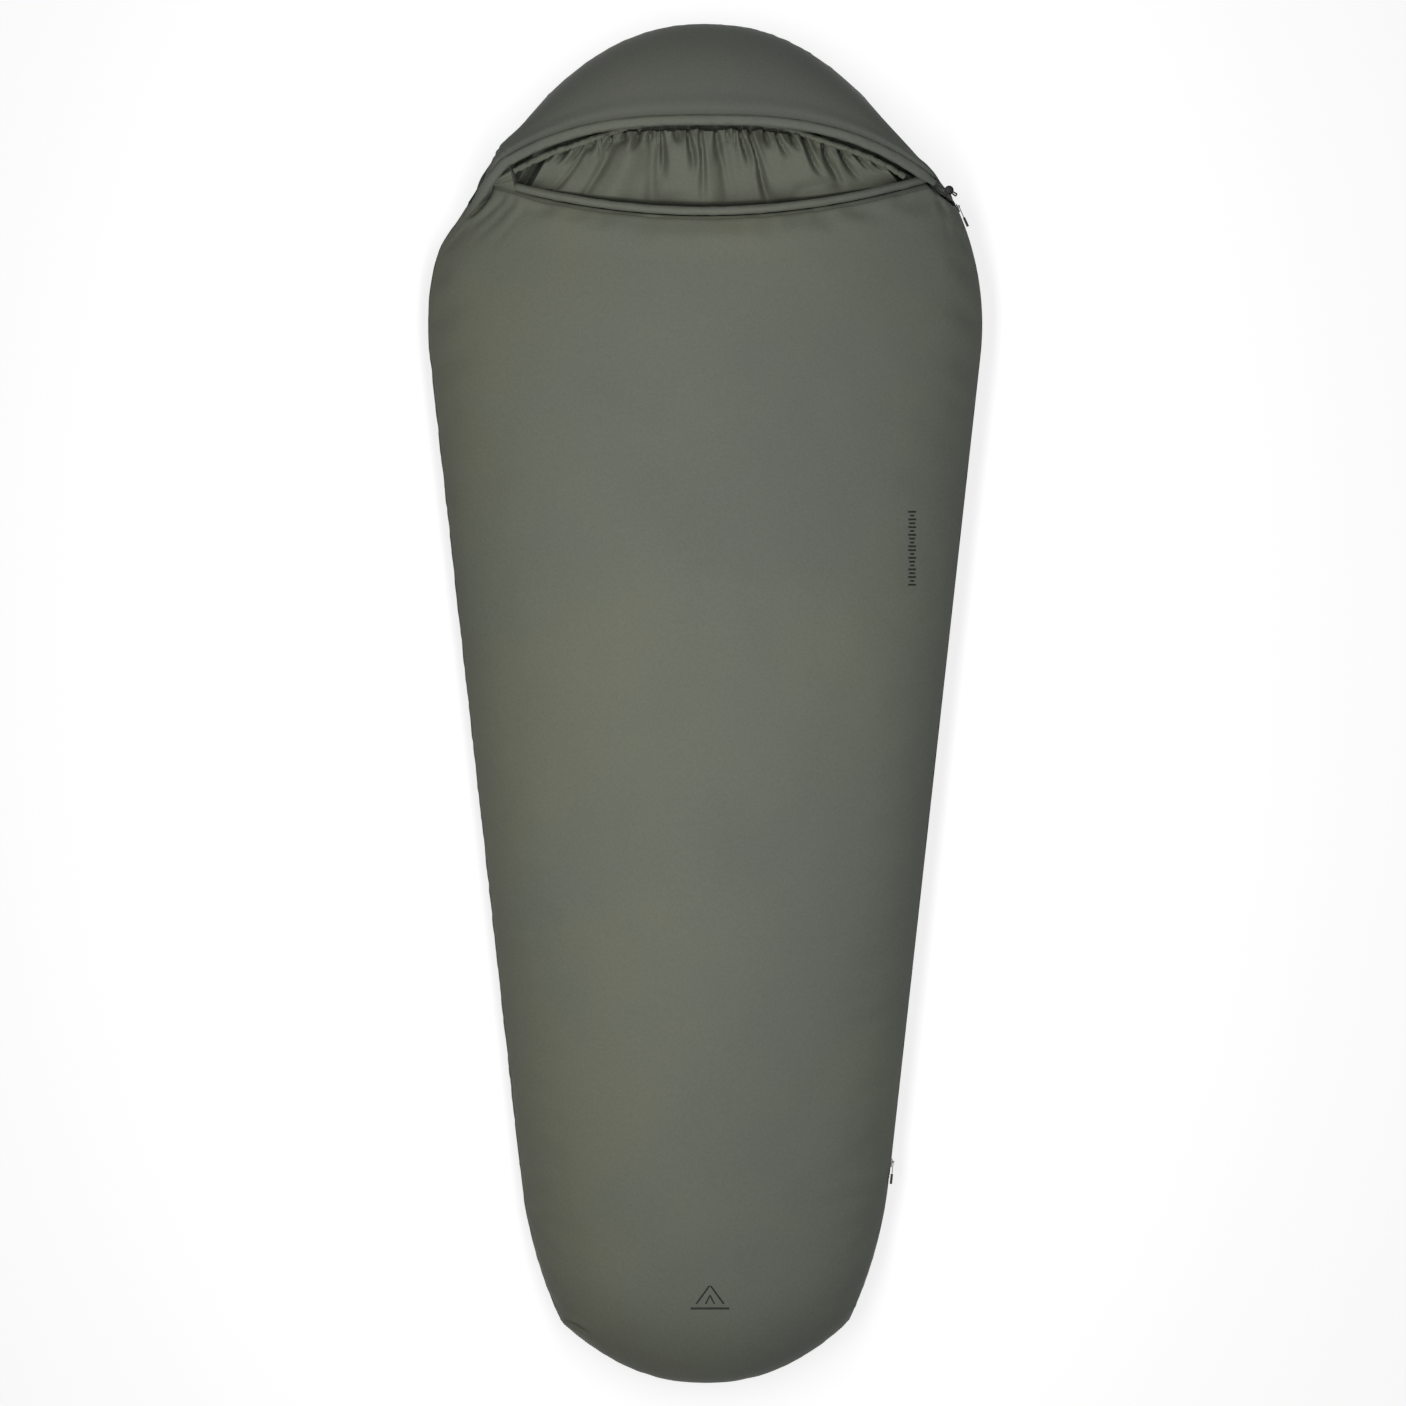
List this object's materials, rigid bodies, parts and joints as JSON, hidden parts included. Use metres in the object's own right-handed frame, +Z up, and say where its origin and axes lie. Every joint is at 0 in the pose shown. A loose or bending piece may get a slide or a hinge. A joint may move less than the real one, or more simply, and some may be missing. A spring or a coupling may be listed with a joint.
{
  "type": "bivy sack",
  "caption": "Mummy-shaped padded bivy sack lying closed, with a drawcord hood and a two-way side zip.",
  "frame": {"origin": "on the ground under the middle of the sack's outline", "axes": "+Y towards the hood, +X to the side with the zip, +Z up"},
  "size_m": [0.8978, 2.2005, 0.15],
  "materials": {
    "shell_fabric": "matt olive-grey ripstop-weight polyester, water-repellent",
    "base_fabric": "coated olive-grey polyester",
    "lining_fabric": "soft olive-grey polyester taffeta",
    "filling": "lofted polyester fibre",
    "zip_tape": "woven dark grey tape",
    "zip_teeth": "nylon coil",
    "zip_metal": "black enamelled die-cast alloy",
    "black_plastic": "moulded black plastic",
    "spring_steel": "spring wire",
    "cord": "black braided cord"
  },
  "bodies": {
    "sack": {"top_shell": "shell_fabric", "hood_roof_shell": "shell_fabric", "brim_channel": "shell_fabric", "face_binding": "shell_fabric", "base_shell": "base_fabric", "foot_shell": "base_fabric", "hood_back_shell": "base_fabric", "top_lining": "lining_fabric", "base_lining": "lining_fabric", "foot_lining": "lining_fabric", "hood_roof_lining": "lining_fabric", "hood_back_lining": "lining_fabric", "zip_baffle": "lining_fabric", "top_fill": "filling", "base_fill": "filling", "foot_fill": "filling", "hood_roof_fill": "filling", "hood_back_fill": "filling", "zip_tape_upper": "zip_tape", "zip_tape_lower": "zip_tape", "zip_teeth_upper": "zip_teeth", "zip_teeth_lower": "zip_teeth", "zip_top_stop_upper": "zip_metal", "zip_top_stop_lower": "zip_metal", "zip_bottom_stop": "zip_metal", "hood_drawcord": "cord", "drawcord_tail": "cord", "drawcord_knot": "cord"},
    "top_slider": {"zip_slider_top": "zip_metal"},
    "top_pull": {"zip_pull_top": "zip_metal", "zip_grip_top": "black_plastic"},
    "bottom_slider": {"zip_slider_bottom": "zip_metal"},
    "bottom_pull": {"zip_pull_bottom": "zip_metal", "zip_grip_bottom": "black_plastic"},
    "cord_lock": {"cord_lock_barrel": "black_plastic", "cord_lock_spring": "spring_steel"},
    "lock_button": {"cord_lock_button": "black_plastic"}
  },
  "joints": [
    {"name": "zip_top_travel", "type": "hinge", "parent": "sack", "child": "top_slider", "pos_m": [-0.0102, 0.6136, 0.062], "axis": [0, 0, -1], "range_deg": [0, 30]},
    {"name": "zip_top_pull", "type": "hinge", "parent": "top_slider", "child": "top_pull", "pos_m": [0.41133, 0.80514, 0.062], "axis": [0, 0, 1], "range_deg": [0, 130]},
    {"name": "zip_bottom_travel", "type": "slide", "parent": "sack", "child": "bottom_slider", "axis": [0.1103, 0.9939, 0], "range_m": [0, 1.18]},
    {"name": "zip_bottom_pull", "type": "hinge", "parent": "bottom_slider", "child": "bottom_pull", "pos_m": [0.30508, -0.74364, 0.062], "axis": [0, 0, 1], "range_deg": [0, 170]},
    {"name": "cord_lock_slide", "type": "slide", "parent": "sack", "child": "cord_lock", "axis": [-0.9318, 0.3629, 0], "range_m": [0, 0.01]},
    {"name": "cord_lock_press", "type": "slide", "parent": "cord_lock", "child": "lock_button", "axis": [0, 0, -1], "range_m": [0, 0.004], "stiffness_N_per_m": 300, "springref_m": -0.003, "deforming": ["cord_lock_spring"]}
  ]
}
